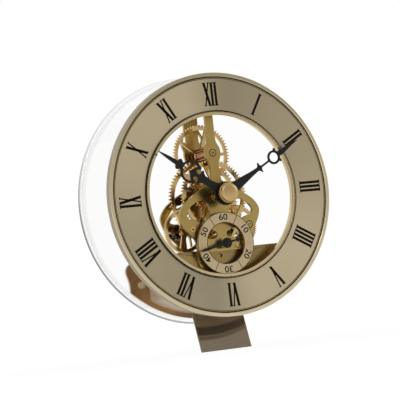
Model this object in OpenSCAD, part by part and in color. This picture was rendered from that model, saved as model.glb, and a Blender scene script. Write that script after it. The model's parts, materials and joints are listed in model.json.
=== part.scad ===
// Skeleton clock movement: a round see-through case on a sheet tongue, with a train of brass wheels between two
// pierced plates and a battery motor in the base. Millimetres, +Z up, the dial faces -Y, the origin is the middle of
// the tongue's cut end. Most pieces are drawn in dial coordinates: x to the right, up, and depth behind the dial face.

/* [Case] */
// Outer radius of the bezel
bezel_radius = 75; // [60:0.5:90]
// Radius of the opening in the dial ring
opening_radius = 50; // [45:0.5:52]
// Depth of the case behind the dial face
case_depth = 42; // [36:0.5:60]
// Thickness of the dial ring
ring_thickness = 1.2; // [0.8:0.1:2]
// Wall of the clear drum behind the bezel
drum_wall = 2.3; // [1.5:0.1:3]
// How much wider the drum grows towards its rear edge
drum_flare = 3.4; // [0:0.1:4]

/* [Tongue] */
// Width of the tongue
tongue_width = 34.5; // [20:0.5:50]
// Thickness of the tongue
tongue_thickness = 1.2; // [0.8:0.1:2]
// Height of the dial centre above the tongue's end
tip_z = -95; // [-120:0.5:-85]
// Depth of the tongue's end behind the dial face
tip_y = 18.3; // [10:0.1:30]
// Lean of the tongue, depth per height
tongue_lean = 0.31; // [0:0.01:0.5]

/* [Plates] */
// Front of the front plate
front_plate_y = 6; // [5:0.5:7]
// Front of the back plate
back_plate_y = 32; // [32:0.5:32]
// Thickness of both plates
plate_thickness = 2; // [1.5:0.1:2]
// Height of the top pillar above the edge of the opening
top_pillar_rise = 7.5; // [6:0.1:9]
// Radius of the two low pillars
low_pillar_radius = 1.8; // [1.6:0.1:1.8]

/* [Seconds dial] */
// Outer radius of the seconds dial
seconds_dial_radius = 19.1; // [17:0.1:19.1]
// Width of its ring
seconds_dial_width = 6.5; // [5:0.1:6.5]
// Front of the seconds dial
seconds_dial_y = 2.2; // [2:0.1:3]
// Thickness of the seconds dial
seconds_dial_thickness = 1; // [0.6:0.1:1.2]
// Gap kept between pieces that pass each other
clearance = 0.15; // [0.05:0.05:0.3]

/* [Train] */
// Height of the upper axis above the dial centre
upper_axis = 26.2; // [26.2:0.1:26.2]
// Sideways distance of the two lower axes
lower_axis_x = 19.5; // [19:0.1:20]
// Height of the two lower axes
lower_axis_z = -19.7; // [-20:0.1:-19]
// Height of the seconds axis
seconds_axis_z = -30; // [-30:0.1:-30]
// Module of the seconds, idler and transfer wheels
fine_module = 0.35; // [0.35:0.01:0.35]
// Module of the two lower wheels
lower_module = 0.442; // [0.44:0.001:0.445]
// Module of the motor wheels
motor_module = 0.25; // [0.25:0.01:0.25]
// Radial play of a pivot in its bush
pivot_play = 0.06; // [0.03:0.01:0.09]

/* [Time shown] */
// Angle of the hour hand, clockwise from twelve
hour_angle = 304.8; // [0:0.1:360]
// Angle of the minute hand, clockwise from twelve
minute_angle = 61.2; // [0:0.1:360]
// Angle of the seconds hand, clockwise from twelve
seconds_angle = 258.7; // [0:0.1:360]

/* [Hidden] */
// Names of all pieces
// The piece to draw
// Smoothness of round pieces
$fn = 64;

// Axes of the train, right and up from the dial centre
upper = [0, upper_axis];
right = [lower_axis_x, lower_axis_z];
left = [-lower_axis_x, lower_axis_z];
sec = [0, seconds_axis_z];
lower_reach = norm(right);
transfer_reach = lower_module * (60 + 8) / 2;
transfer_z = -31.5;
transfer = [right[0] - sqrt(pow(transfer_reach, 2) - pow(right[1] - transfer_z, 2)), transfer_z];
idler_a = fine_module * (20 + 16) / 2;
idler_b = fine_module * (16 + 32) / 2;
idler_d = norm(transfer - sec);
idler_e = (transfer - sec) / idler_d;
idler_u = (idler_a * idler_a - idler_b * idler_b + idler_d * idler_d) / (2 * idler_d);
idler_h = sqrt(idler_a * idler_a - idler_u * idler_u);
idler = sec + idler_u * idler_e + idler_h * [-idler_e[1], idler_e[0]];
seconds_module = 0.3;
inter_reach = seconds_module * (40 + 8) / 2;
inter = sec + inter_reach * [-sin(14), -cos(14)];
rotor_reach = motor_module * (48 + 8) / 2;
rotor = inter + rotor_reach * [sin(25), -cos(25)];
pillar_low_z = -37.6;
pillars_low = [[-16, pillar_low_z], [16, pillar_low_z]];
pillar_top = [0, opening_radius + top_pillar_rise];
foot_x = 15.8;
seconds_dial_back = seconds_dial_y + seconds_dial_thickness;
centre_module = 2 * lower_reach / (65 + 13);
motion_module = 2 * upper_axis / (24 + 60);
hour_module = 2 * upper_axis / (15 + 72);
face_top = -33;
plate_back = front_plate_y + plate_thickness;
rear_back = back_plate_y + plate_thickness;
drum_in = 72;
drum_out = drum_in + drum_wall;
flare_start = 5;
function drum_inside(y) = drum_in + drum_flare * (y - flare_start) / (case_depth - flare_start);
cover_radius = drum_inside(38.5) + 0.8;
pivot = 0.6;

// Colours
BRASS = [0.80, 0.66, 0.36];
PALE = [0.86, 0.76, 0.52];
DIAL = [0.64, 0.59, 0.48];
BLACK = [0.05, 0.05, 0.055];
STEEL = [0.62, 0.62, 0.62];
DARK = [0.30, 0.26, 0.20];
CLEAR = [0.90, 0.92, 0.93, 0.25];
BROWN = [0.45, 0.28, 0.10];

// Helpers in dial coordinates
module dial_frame() { translate([0, -tip_y, -tip_z]) rotate([90, 0, 0]) children(); }
module slab(front, back) { translate([0, 0, -back]) linear_extrude(back - front) children(); }
module rod(at, r, front, back) { translate([at[0], at[1], -back]) cylinder(r = r, h = back - front); }
module tube(at, r, hole, front, back) {
  translate([at[0], at[1], -back])
    difference() {
      cylinder(r = r, h = back - front);
      translate([0, 0, -1]) cylinder(r = hole, h = back - front + 2);
    }
}
module bore(at, r, front, back) { rod(at, r, front - 1, back + 1); }
module lathe() { rotate_extrude($fn = 180) children(); }
module bar2d(x0, x1, z0, z1) { translate([x0, z0]) square([x1 - x0, z1 - z0]); }
module disc2d(at, r) { translate(at) circle(r = r); }

// Closed smooth outline through the given points
function blend(a, b, c, d, t) =
  0.5 * (2 * b + (c - a) * t + (2 * a - 5 * b + 4 * c - d) * t * t + (3 * b - a - 3 * c + d) * t * t * t);
function smooth(p, n = 4) = let (k = len(p))
  [for (i = [0:k - 1]) for (j = [0:n - 1]) blend(p[(i + k - 1) % k], p[i], p[(i + 1) % k], p[(i + 2) % k], j / n)];
function both(p) = concat(p, [for (i = [len(p) - 1:-1:0]) if (abs(p[i][0]) > 0.001) [-p[i][0], p[i][1]]]);
function flip(p) = [for (q = p) [-q[0], q[1]]];

// Toothed outline: add and ded in modules, widths as a share of the tooth pitch
function teeth(n, m, phase, add, ded, tip, pit, root) =
  [for (k = [0:n - 1])
    for (s = [[-ded, -root], [0, -pit], [add * 0.7, -(pit + 1.6 * tip) / 2.6], [add, -tip],
        [add, tip], [add * 0.7, (pit + 1.6 * tip) / 2.6], [0, pit], [-ded, root]])
      let (a = phase + (k + s[1]) * 360 / n, r = m * n / 2 + s[0] * m) [r * cos(a), r * sin(a)]];
function wheel_teeth(n, m, phase) = teeth(n, m, phase, 0.85, 1.2, 0.09, 0.21, 0.29);
function pinion_teeth(n, m, phase) = teeth(n, m, phase, 0.75, 1.25, 0.09, 0.19, 0.22);
function bearing(a, b) = atan2(b[1] - a[1], b[0] - a[0]);
// Phase of the second wheel that puts its gap on the first wheel's tooth
function meshed(n1, phase1, n2, from, to) =
  let (t = bearing(from, to)) t + 180 - (180 - (t - phase1) * n1) / n2;

// Phases of all toothed pieces at rest
ph_sec_gear = 4;
ph_idler = meshed(20, ph_sec_gear, 16, sec, idler);
ph_transfer = meshed(16, ph_idler, 32, idler, transfer);
ph_transfer_pinion = 7;
ph_right = meshed(8, ph_transfer_pinion, 60, transfer, right);
ph_right_pinion = 3;
ph_centre = meshed(13, ph_right_pinion, 65, right, [0, 0]);
ph_left_pinion = meshed(65, ph_centre, 13, [0, 0], left);
ph_cannon = 2;
ph_minute = meshed(24, ph_cannon, 60, [0, 0], upper);
ph_long = 5;
ph_hour = meshed(15, ph_long, 72, upper, [0, 0]);
ph_sec_wheel = 1;
ph_inter_pinion = meshed(40, ph_sec_wheel, 8, sec, inter);
ph_inter = 6;
ph_rotor = meshed(48, ph_inter, 8, inter, rotor);

module crossings(inner, outer, spokes, half, turn) {
  difference() {
    circle(r = outer);
    circle(r = inner);
    for (i = [0:spokes - 1])
      rotate(turn + i * 360 / spokes)
        polygon([[0, -half * 1.5], [outer + 1, -half * 0.85], [outer + 1, half * 0.85], [0, half * 1.5]]);
  }
}
module wheel(at, n, m, phase, front, back, hole, hub, rim, spokes, half, turn) {
  translate([at[0], at[1], 0])
    slab(front, back)
      difference() {
        polygon(wheel_teeth(n, m, phase));
        crossings(hub, m * n / 2 - rim, spokes, half, turn);
        circle(r = hole);
      }
}
module pinion(at, n, m, phase, front, back, hole) {
  translate([at[0], at[1], 0])
    slab(front, back)
      difference() {
        polygon(pinion_teeth(n, m, phase));
        circle(r = hole, $fn = 32);
      }
}
module screw(at, head, shank, top, under, end) {
  slot = min(head * 0.28, 0.8);
  difference() {
    rod(at, head, min(top, under), max(top, under));
    translate([at[0], at[1], -top])
      rotate(35) cube([head * 3, slot, 0.9], center = true);
  }
  rod(at, shank, min(under, end), max(under, end));
}
function cap_low(r, x) = -sqrt(r * r - x * x);

// Case
module bezel() {
  color(PALE)
    dial_frame()
      lathe()
        polygon([[bezel_radius - 2.4, 0], [bezel_radius - 2.4, 0.4], [bezel_radius - 2, 0.8],
          [bezel_radius - 0.5, 0.8], [bezel_radius - 0.15, 0.65], [bezel_radius, 0.3], [bezel_radius, -4.4],
          [bezel_radius - 0.2, -4.8], [bezel_radius - 0.6, -4.8], [bezel_radius - 0.6, 0]]);
}
module dial_ring() {
  color(DIAL)
    dial_frame()
      slab(0, ring_thickness)
        difference() {
          circle(r = bezel_radius - 0.7, $fn = 180);
          circle(r = opening_radius, $fn = 180);
        }
}
module inner_trim() {
  r = opening_radius;
  color(PALE)
    dial_frame()
      difference() {
        lathe()
          polygon([[r - 0.7, -4], [r - 0.7, 0], [r - 1.3, 0], [r - 1.3, 0.25], [r - 1.05, 0.6], [r + 0.7, 0.6],
            [r + 1, 0.25], [r + 1, 0], [r - 0.1, 0], [r - 0.1, -4]]);
        // Room for the seconds dial
        rod(sec, seconds_dial_radius + clearance, seconds_dial_y - clearance, 8, $fn = 128);
      }
}
module drum() {
  color(CLEAR)
    dial_frame()
      difference() {
        lathe()
          polygon([[drum_in, -ring_thickness], [drum_out, -ring_thickness], [drum_out, -flare_start],
            [drum_out + drum_flare, -case_depth], [drum_in + drum_flare, -case_depth], [drum_in, -flare_start]]);
        rod([0, 0], cover_radius + 0.2, 38.5, case_depth + 1, $fn = 180);
        translate([-17.9, -80, -27.6]) cube([35.8, 40, 4.3]);
      }
}
module rear_cover() {
  color(CLEAR)
    dial_frame()
      slab(38.5, 40.5)
        difference() {
          circle(r = cover_radius, $fn = 180);
          circle(r = 7.6);
          bar2d(-31, 31, -64.2, -45);
          for (s = [-1, 1]) disc2d([s * 44.5, -49.6], 1.3);
        }
}
flange_half = [[0, face_top - 1], [47, face_top - 1], [50.2, -35.7], [52.3, -37.5], [53.3, -39.6], [53.2, -42.3],
  [52.5, -44.6], [52, -46.4], [51.6, -49.1], [51.5, -53], [51.5, -80], [0, -80]];
module base_box() {
  color(BROWN)
    dial_frame()
      difference() {
        union() {
          // Front wall
          slab(9.5, 11)
            intersection() {
              circle(r = 71.3, $fn = 180);
              bar2d(-80, 80, -80, face_top);
            }
          // Rear flange with its ears
          slab(36.5, 38.5)
            intersection() {
              circle(r = drum_inside(36.5) - 0.5, $fn = 180);
              polygon(both(flange_half));
            }
          // Bottom and side walls
          slab(11, 36.5)
            difference() {
              intersection() {
                circle(r = 71.6, $fn = 180);
                bar2d(-39, 39, -80, face_top - 1);
              }
              intersection() {
                circle(r = 70, $fn = 180);
                bar2d(-37.4, 37.4, -80, 0);
              }
            }
          // Roof over the battery
          slab(18, 36.5) bar2d(-38, 38, -46.2, -45);
          // Pad for the tongue
          slab(29.6, 36.5)
            intersection() {
              circle(r = 70.8, $fn = 180);
              bar2d(-17, 17, -72, -65.4);
            }
          // Battery end ribs
          for (s = [-1, 1])
            slab(20, 36.5) translate([s * 27.6, -55.4]) square([1.6, 19.4], center = true);
          // Bosses for the stator and the circuit board
          for (p = [[1.75, -58], [15, -61.75]]) rod(p, 1.6, 10.5, 12.9);
          for (p = [[-28, -44], [-14, -57]]) {
            rod(p, 1.8, 10.5, 13);
            rod(p, 0.75, 12.5, 14.6);
          }
        }
        // Battery door
        slab(36, 39) bar2d(-30, 30, -62.5, -46.5);
        // Tongue slot
        translate([-17.8, -75, -29.2]) cube([35.6, 9.4, 5]);
        for (s = [-1, 1]) {
          bore([s * 44.5, -49.6], 1.3, 36, 39);
          bore([s * 16, -37.6], 1.3, 9.5, 11);
          translate([s * 11, -70, -33]) rotate([-90, 0, 0]) cylinder(r = 1.3, h = 12, $fn = 32);
        }
        for (p = [[1.75, -58], [15, -61.75]]) rod(p, 0.65, 11.2, 14, $fn = 24);
        rod(inter, 0.35 + pivot_play, 8, 12, $fn = 32);
        rod(rotor, 0.35 + pivot_play, 8, 12, $fn = 32);
      }
}
module base_face() {
  color(BRASS)
    dial_frame()
      slab(8, 9.5)
        difference() {
          intersection() {
            circle(r = 48, $fn = 180);
            bar2d(-80, 80, -80, face_top);
          }
          for (p = pillars_low) disc2d(p, 1.3);
          disc2d(inter, 1.2);
          disc2d(rotor, 1.2);
        }
}
module ear_screws() {
  color(PALE)
    dial_frame()
      for (s = [-1, 1]) {
        screw([s * 44.5, -49.6], 2.1, 1.2, 35.1, 36.5, 41.4);
        tube([s * 44.5, -49.6], 2.3, 1.25, 40.5, 41.9, $fn = 6);
      }
}
module case_posts() {
  color(STEEL)
    dial_frame()
      for (s = [-1, 1]) rod([s * 38, -47], 2.5, ring_thickness, 9.5);
}

// Tongue: profile in depth and height, bent at the top onto the pad
tongue_dir = [tongue_lean, 1] / norm([tongue_lean, 1]);
bend_centre_z = -67.3;
bend_r = 2.5;
bend_start = [tip_y + tongue_lean * (bend_centre_z + bend_r * tongue_dir[0] - tip_z),
  bend_centre_z + bend_r * tongue_dir[0]];
bend_centre = bend_start + bend_r * [tongue_dir[1], -tongue_dir[0]];
bend_from = 180 - atan2(tongue_dir[0], tongue_dir[1]);
function bend_arc(r, steps) =
  [for (i = [0:steps]) let (a = bend_from + (90 - bend_from) * i / steps) bend_centre + r * [cos(a), sin(a)]];
module tongue() {
  h = tongue_thickness / 2;
  w = h / tongue_dir[1];
  outline = concat([[tip_y - w, tip_z]], bend_arc(bend_r + h, 6), [[36, bend_centre_z + bend_r + h]],
    [[36, bend_centre_z + bend_r - h]], [for (p = [6:-1:0]) bend_arc(bend_r - h, 6)[p]], [[tip_y + w, tip_z]]);
  color(DARK)
    translate([0, -tip_y, -tip_z])
      difference() {
        translate([-tongue_width / 2, 0, 0])
          rotate([90, 0, 90]) linear_extrude(tongue_width) polygon(outline);
        for (s = [-1, 1]) translate([s * 11, 33, -70]) cylinder(r = 1.3, h = 12, $fn = 32);
      }
}
module tongue_screws() {
  color(STEEL)
    translate([0, -tip_y, -tip_z])
      for (s = [-1, 1])
        translate([s * 11, 33, 0]) {
          difference() {
            translate([0, 0, -64.2]) cylinder(r = 2.4, h = 1.6, $fn = 32);
            translate([0, 0, -62.6]) rotate(20) cube([6, 0.7, 1.4], center = true);
          }
          translate([0, 0, -68.4]) cylinder(r = 1.25, h = 4.2, $fn = 32);
        }
}

// Battery compartment
module battery_door() {
  color(BRASS)
    dial_frame() {
      slab(36.6, 38.5) bar2d(-29.8, 29.8, -62.3, -46.7);
      slab(38.5, 39.4) bar2d(-7, 7, -56, -53);
    }
}
module battery() {
  color([0.15, 0.15, 0.16])
    dial_frame()
      translate([0, -54.5, -29])
        rotate([0, 90, 0]) {
          translate([0, 0, -25]) cylinder(r = 7.1, h = 49);
          translate([0, 0, 24]) cylinder(r = 2.7, h = 1.25, $fn = 32);
        }
}
module battery_contacts() {
  color(STEEL)
    dial_frame()
      for (s = [-1, 1])
        translate([s * 26.55, -54.5, -29]) {
          cube([0.4, 12, 11], center = true);
          translate([-s * (s > 0 ? 0.65 : 0.75), 0, 0]) cube([s > 0 ? 0.9 : 1.1, 3, 3], center = true);
        }
}

// Plates
top = pillar_top[1];
front_half = [[0, top + 2.7], [2.1, top + 2.2], [2.75, top + 0.5], [2.75, top - 7.5], [2.75, 42], [2.75, 35.5], [3.3, 32.2], [4.8, 29.4],
  [5.4, 26.2], [4.8, 23], [3.4, 20.2], [2.9, 17], [2.9, 12.5], [3.8, 9.4], [7, 6.4], [10.8, 4.3], [14.7, 2.3],
  [19.1, -0.6], [24, -4.3], [27, -8.7], [27.4, -12.3], [25.8, -16.7], [23.8, -19.9], [21.3, -22.9], [18.9, -26],
  [17.8, -30], [17.7, -35], [17.7, -40.5], [17.1, -42.8], [16, -43.3], [14.9, -42.8], [14.3, -40.5], [14, -37],
  [12.6, -34.9], [9, -34.4], [4, -34.3], [0, -34.3]];
front_window = [[7.6, -4.8], [12.2, -2.6], [18, -4.8], [21.8, -8.6], [22.4, -11.1], [20.8, -13.3], [17.4, -14.3],
  [13.5, -15.9], [9.6, -18], [7.2, -14], [6.6, -9]];
front_low = [[3.2, -23.4], [6.2, -21.2], [10, -21.2], [12.4, -23.4], [11, -25.8], [7.2, -26.6], [4, -25.9]];
module front_plate() {
  color(BRASS)
    dial_frame()
      slab(front_plate_y, plate_back)
        difference() {
          polygon(smooth(both(front_half), 4));
          polygon(smooth(front_window, 5));
          polygon(smooth(flip(front_window), 5));
          polygon(smooth(front_low, 4));
          polygon(smooth(flip(front_low), 4));
          for (p = [upper, right, left, sec, transfer]) disc2d(p, 1.72);
          circle(r = 4.02);
          for (p = concat(pillars_low, [pillar_top])) disc2d(p, 1.3);
          for (s = [-1, 1]) disc2d([s * foot_x, sec[1]], 0.62);
        }
}
back_half = [[0, top + 3.7], [3.8, top + 3.2], [5, top + 0.9], [5, top - 7.5], [5, 43.6], [6.6, 40.2], [8, 36.4], [7.4, 32.8], [6.5, 30],
  [6.6, 27], [5.9, 23.4], [4.3, 20], [3.8, 16], [3.9, 12], [5.4, 8.6], [9.4, 5.4], [14.7, 2.9], [19.5, 0],
  [24.5, -4], [27.6, -8.7], [28, -12.3], [26.6, -17], [24.4, -21.3], [21, -24.8], [18.6, -28], [17.9, -33],
  [17.9, -39.5], [17.3, -42.9], [15.1, -43.8], [13, -42.9], [12.4, -40.6], [11.2, -38.8], [6, -38.3], [0, -38.3]];
back_window = [[7.6, -4.8], [12.2, -2.4], [18, -4.4], [22, -8.5], [22.7, -11.5], [21.2, -13.7], [17.2, -14.7],
  [13, -15.8], [9, -17.2], [7.2, -13], [6.6, -9]];
back_low_right = [[7.2, -22.6], [8.2, -20.2], [10.6, -19.6], [12.6, -21.6], [12.2, -25.4], [10.2, -27.6],
  [8, -27.2]];
module back_plate() {
  color(BRASS)
    dial_frame()
      slab(back_plate_y, rear_back)
        difference() {
          polygon(smooth(both(back_half), 4));
          polygon(smooth(back_window, 5));
          polygon(smooth(flip(back_window), 5));
          for (s = [-1, 1])
            polygon(smooth([[s * 4.6, 34.8], [s * 6.4, 36.4], [s * 5.7, 39.4], [s * 4.4, 40]], 4));
          polygon(smooth(back_low_right, 4));
          polygon(smooth([[-12.1, -24], [-10.9, -22.4], [-9.6, -24], [-9.3, -28], [-9.3, -32], [-10.6, -33.4],
            [-12.1, -32], [-12.2, -28]], 4));
          polygon(smooth([[-8.5, -24], [-7, -22.2], [-5.6, -24], [-5.2, -28], [-5.3, -32], [-6.8, -33.4],
            [-8.2, -32], [-8.3, -28]], 4));
          for (p = [[0, 0], upper, right, left, sec, transfer]) disc2d(p, p == [0, 0] ? 3.02 : 1.72);
          disc2d(idler, 0.72, $fn = 32);
          for (p = concat(pillars_low, [pillar_top])) disc2d(p, 1.3);
          for (s = [-1, 1]) disc2d([s * 15, -0.5], 1.3);
        }
}
module plate_pillars() {
  color(PALE)
    dial_frame() {
      difference() {
        union() {
          rod(pillar_top, 2.4, plate_back, back_plate_y);
          rod(pillar_top, 2.9, plate_back, plate_back + 1.5);
          rod(pillar_top, 2.9, back_plate_y - 1.5, back_plate_y);
        }
        bore(pillar_top, 1.3, plate_back - 1, plate_back + 6);
        bore(pillar_top, 1.3, back_plate_y - 6, back_plate_y + 1);
      }
      for (p = pillars_low)
        difference() {
          rod(p, low_pillar_radius, 11, back_plate_y);
          bore(p, 1.3, 10, 17);
          bore(p, 1.3, back_plate_y - 6, back_plate_y + 1);
        }
    }
}
module pillar_screws() {
  color(STEEL)
    dial_frame() {
      rod(pillar_top, 1.25, 2.5, 12, $fn = 32);
      for (p = concat(pillars_low, [pillar_top])) screw(p, 2.2, 1.25, rear_back + 1.2, rear_back, 27, $fn = 32);
      for (p = pillars_low) screw(p, 2.2, 1.25, front_plate_y - 1.2, front_plate_y, 15, $fn = 32);
    }
}
module top_post() {
  color(PALE)
    dial_frame() tube(pillar_top, 2.6, 1.3, ring_thickness, front_plate_y, $fn = 32);
}
module front_bushes() {
  color(PALE)
    dial_frame() {
      for (p = [upper, right, left, sec, transfer])
        tube(p, 1.7, pivot + pivot_play, front_plate_y - 0.1, plate_back, $fn = 32);
      tube([0, 0], 4, 2.6 + pivot_play, front_plate_y - 0.6, plate_back + 0.6);
    }
}
module back_bushes() {
  color(PALE)
    dial_frame() {
      for (p = [upper, right, left, sec, transfer])
        tube(p, 1.7, pivot + pivot_play, back_plate_y - 0.1, rear_back + 0.3, $fn = 32);
      tube([0, 0], 3, 1.5 + pivot_play, back_plate_y - 0.1, rear_back + 0.6);
    }
}
module arm_screws() {
  color(DARK)
    dial_frame()
      for (s = [-1, 1]) {
        screw([s * 15, -0.5], 2.6, 1.25, 30.8, 32, 35.2, $fn = 32);
        tube([s * 15, -0.5], 2.3, 1.3, rear_back, rear_back + 1.4, $fn = 6);
      }
}
module seconds_dial() {
  color(DIAL)
    dial_frame()
      slab(seconds_dial_y, seconds_dial_back)
        difference() {
          disc2d(sec, seconds_dial_radius, $fn = 128);
          disc2d(sec, seconds_dial_radius - seconds_dial_width, $fn = 96);
          for (s = [-1, 1]) disc2d([s * foot_x, sec[1]], 1.02, $fn = 32);
        }
}
module seconds_dial_feet() {
  color(PALE)
    dial_frame()
      for (s = [-1, 1]) {
        rod([s * foot_x, sec[1]], 1, seconds_dial_y - 0.05, seconds_dial_back, $fn = 32);
        rod([s * foot_x, sec[1]], 1.5, seconds_dial_back, front_plate_y, $fn = 32);
        rod([s * foot_x, sec[1]], 0.6, front_plate_y, plate_back + 0.5, $fn = 32);
      }
}

// Motor
post_at = [[-10.5, -39.5], [8.7, -36.3], [-6, -50.5]];
module module_posts() {
  color(STEEL)
    dial_frame()
      for (p = post_at) tube(p, 1.5, 0.85, 11, 15, $fn = 32);
}
module module_plate() {
  color(PALE)
    dial_frame()
      slab(15, 16.5)
        difference() {
          polygon(smooth([[-12.8, -38], [-10.6, -35.4], [-5, -34], [2, -33.8], [8.8, -33.9], [11, -36.3],
            [9.4, -39.6], [6, -43.5], [3.4, -48], [-1.6, -52.3], [-6, -53], [-8.4, -50.6], [-9.6, -45.5],
            [-12.4, -41.4]], 4));
          for (p = post_at) disc2d(p, 0.85, $fn = 32);
          disc2d(inter, 0.35 + pivot_play, $fn = 32);
          disc2d(rotor, 0.35 + pivot_play, $fn = 32);
        }
}
module module_screws() {
  color(STEEL)
    dial_frame()
      for (p = post_at) screw(p, 1.4, 0.8, 17.3, 16.5, 12, $fn = 32);
}
module stator() {
  color(STEEL)
    dial_frame()
      slab(12.9, 13.9)
        difference() {
          union() {
            bar2d(-3.6, 8, -48.2, -39.1);
            bar2d(7, 16, -41.5, pillar_low_z - low_pillar_radius - 2 * clearance);
            bar2d(14, 16, -63, pillar_low_z - low_pillar_radius - 2 * clearance);
            bar2d(0.4, 16, -63, -60.5);
            bar2d(0.4, 3.1, -62, -48);
            disc2d([15, -61.75], 2, $fn = 32);
          }
          disc2d(rotor, 3.45, $fn = 48);
          bar2d(rotor[0] - 0.25, rotor[0] + 0.25, -50, rotor[1]);
          disc2d([1.75, -58], 0.65, $fn = 24);
          disc2d([15, -61.75], 0.65, $fn = 24);
        }
}
module stator_screws() {
  color(STEEL)
    dial_frame()
      for (p = [[1.75, -58], [15, -61.75]]) screw(p, 1.2, 0.6, 14.6, 13.9, 11.4, $fn = 24);
}
module coil_bobbin() {
  color([0.85, 0.84, 0.80])
    translate([0, -tip_y, -tip_z])
      translate([15, 13.4, 0])
        difference() {
          union() {
            translate([0, 0, -59.8]) cylinder(r = 1.5, h = 17.6, $fn = 32);
            translate([0, 0, -59.8]) cylinder(r = 2.3, h = 0.7, $fn = 32);
            translate([0, 0, -42.9]) cylinder(r = 2.3, h = 0.7, $fn = 32);
          }
          translate([0, 0, -51]) cube([2.06, 1.06, 30], center = true);
        }
}
module coil_winding() {
  color([0.60, 0.30, 0.12])
    translate([0, -tip_y, -tip_z])
      translate([15, 13.4, -59.05])
        difference() {
          cylinder(r = 2.15, h = 16.1, $fn = 48);
          translate([0, 0, -1]) cylinder(r = 1.53, h = 19, $fn = 48);
        }
}
module circuit_board() {
  color([0.10, 0.35, 0.18])
    dial_frame() {
      slab(13, 14.2)
        difference() {
          bar2d(-30, -11, -59, -41.6);
          for (p = [[-28, -44], [-14, -57]]) disc2d(p, 0.8, $fn = 24);
        }
      slab(14.2, 15.2) bar2d(-26, -20, -55, -49);
    }
}
module crystal_can() {
  color(STEEL)
    dial_frame()
      translate([-17, -52, -15.25]) rotate([-90, 0, 0]) cylinder(r = 1, h = 6, $fn = 32);
}

// Motor and seconds train
module rotor_magnet() {
  color([0.25, 0.25, 0.28])
    dial_frame() tube(rotor, 3, 0.62, 12.6, 14.4, $fn = 48);
}
module rotor_arbor() {
  color(STEEL)
    dial_frame() {
      rod(rotor, 0.35, 9.8, 11.15, $fn = 24);
      pinion(rotor, 8, motor_module, ph_rotor, 11.15, 12.5, 0.001);
      rod(rotor, 0.6, 12.5, 14.85, $fn = 24);
      rod(rotor, 0.35, 14.85, 16.3, $fn = 24);
    }
}
module intermediate_wheel() {
  color(PALE)
    dial_frame() {
      rod(inter, 0.35, 9.8, 11.2, $fn = 24);
      wheel(inter, 48, motor_module, ph_inter, 11.5, 12.1, 0.001, 1.8, 1.1, 4, 0.5, 20);
      pinion(inter, 8, seconds_module, ph_inter_pinion, 12.1, 14.8, 0.001);
      rod(inter, 0.6, 11.2, 11.5, $fn = 24);
      rod(inter, 0.35, 14.8, 16.3, $fn = 24);
    }
}
module seconds_arbor() {
  color(STEEL)
    dial_frame() {
      rod(sec, pivot, 0, 8.3, $fn = 32);
      rod(sec, 0.75, 8.3, 31.7, $fn = 32);
      rod(sec, pivot, 31.7, 34.1, $fn = 32);
    }
}
module seconds_wheel() {
  color(PALE)
    dial_frame() {
      wheel(sec, 40, seconds_module, ph_sec_wheel, 13.1, 13.9, 0.77, 2, 1.2, 4, 0.5, 45);
      tube(sec, 1.8, 0.77, 13.9, 15.5, $fn = 32);
    }
}
module seconds_gear() {
  color(PALE)
    dial_frame() {
      pinion(sec, 20, fine_module, ph_sec_gear, 28.9, 30.4, 0.77);
      tube(sec, 1.8, 0.77, 27.9, 28.9, $fn = 32);
    }
}
module seconds_hand() {
  color(BLACK)
    dial_frame()
      translate([sec[0], sec[1], 0])
        rotate(-seconds_angle) {
          slab(0.3, 1.1)
            difference() {
              union() {
                circle(r = 3.2);
                polygon(smooth([[-0.9, 0], [-0.85, 4], [-0.62, 9], [-0.9, 14.4], [-0.55, 17], [-0.12, 19],
                  [0.12, 19], [0.55, 17], [0.9, 14.4], [0.62, 9], [0.85, 4], [0.9, 0]], 3));
                polygon([[-0.65, 0], [-0.55, -6.6], [-1.5, -7.1], [-1.6, -8.1], [0, -8.6], [1.6, -8.1],
                  [1.5, -7.1], [0.55, -6.6], [0.65, 0]]);
              }
              circle(r = 0.62, $fn = 32);
            }
          tube([0, 0], 1.5, 0.62, 1.1, 2, $fn = 32);
        }
}
module idler_stud() {
  color(STEEL)
    dial_frame() {
      rod(idler, 0.9, 28.3, 32, $fn = 32);
      rod(idler, 0.7, 32, rear_back, $fn = 32);
      rod(idler, 1.4, 27.9, 28.3, $fn = 32);
      rod(idler, 1.6, 31, 32, $fn = 32);
    }
}
module idler_wheel() {
  color(PALE)
    dial_frame() pinion(idler, 16, fine_module, ph_idler, 28.6, 30.6, 0.9 + pivot_play);
}
module transfer_arbor() {
  color(STEEL)
    dial_frame() {
      rod(transfer, pivot, 6.2, 8.3, $fn = 32);
      rod(transfer, 0.9, 8.3, 21.8, $fn = 32);
      pinion(transfer, 8, lower_module, ph_transfer_pinion, 21.8, 25, 0.001);
      rod(transfer, 0.9, 25, 31.7, $fn = 32);
      rod(transfer, pivot, 31.7, 34.1, $fn = 32);
    }
}
module transfer_wheel() {
  color(PALE)
    dial_frame() {
      wheel(transfer, 32, fine_module, ph_transfer, 28.9, 30.4, 0.92, 2.1, 1.3, 4, 0.55, 10);
      tube(transfer, 1.8, 0.92, 27.6, 28.9, $fn = 32);
    }
}

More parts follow.
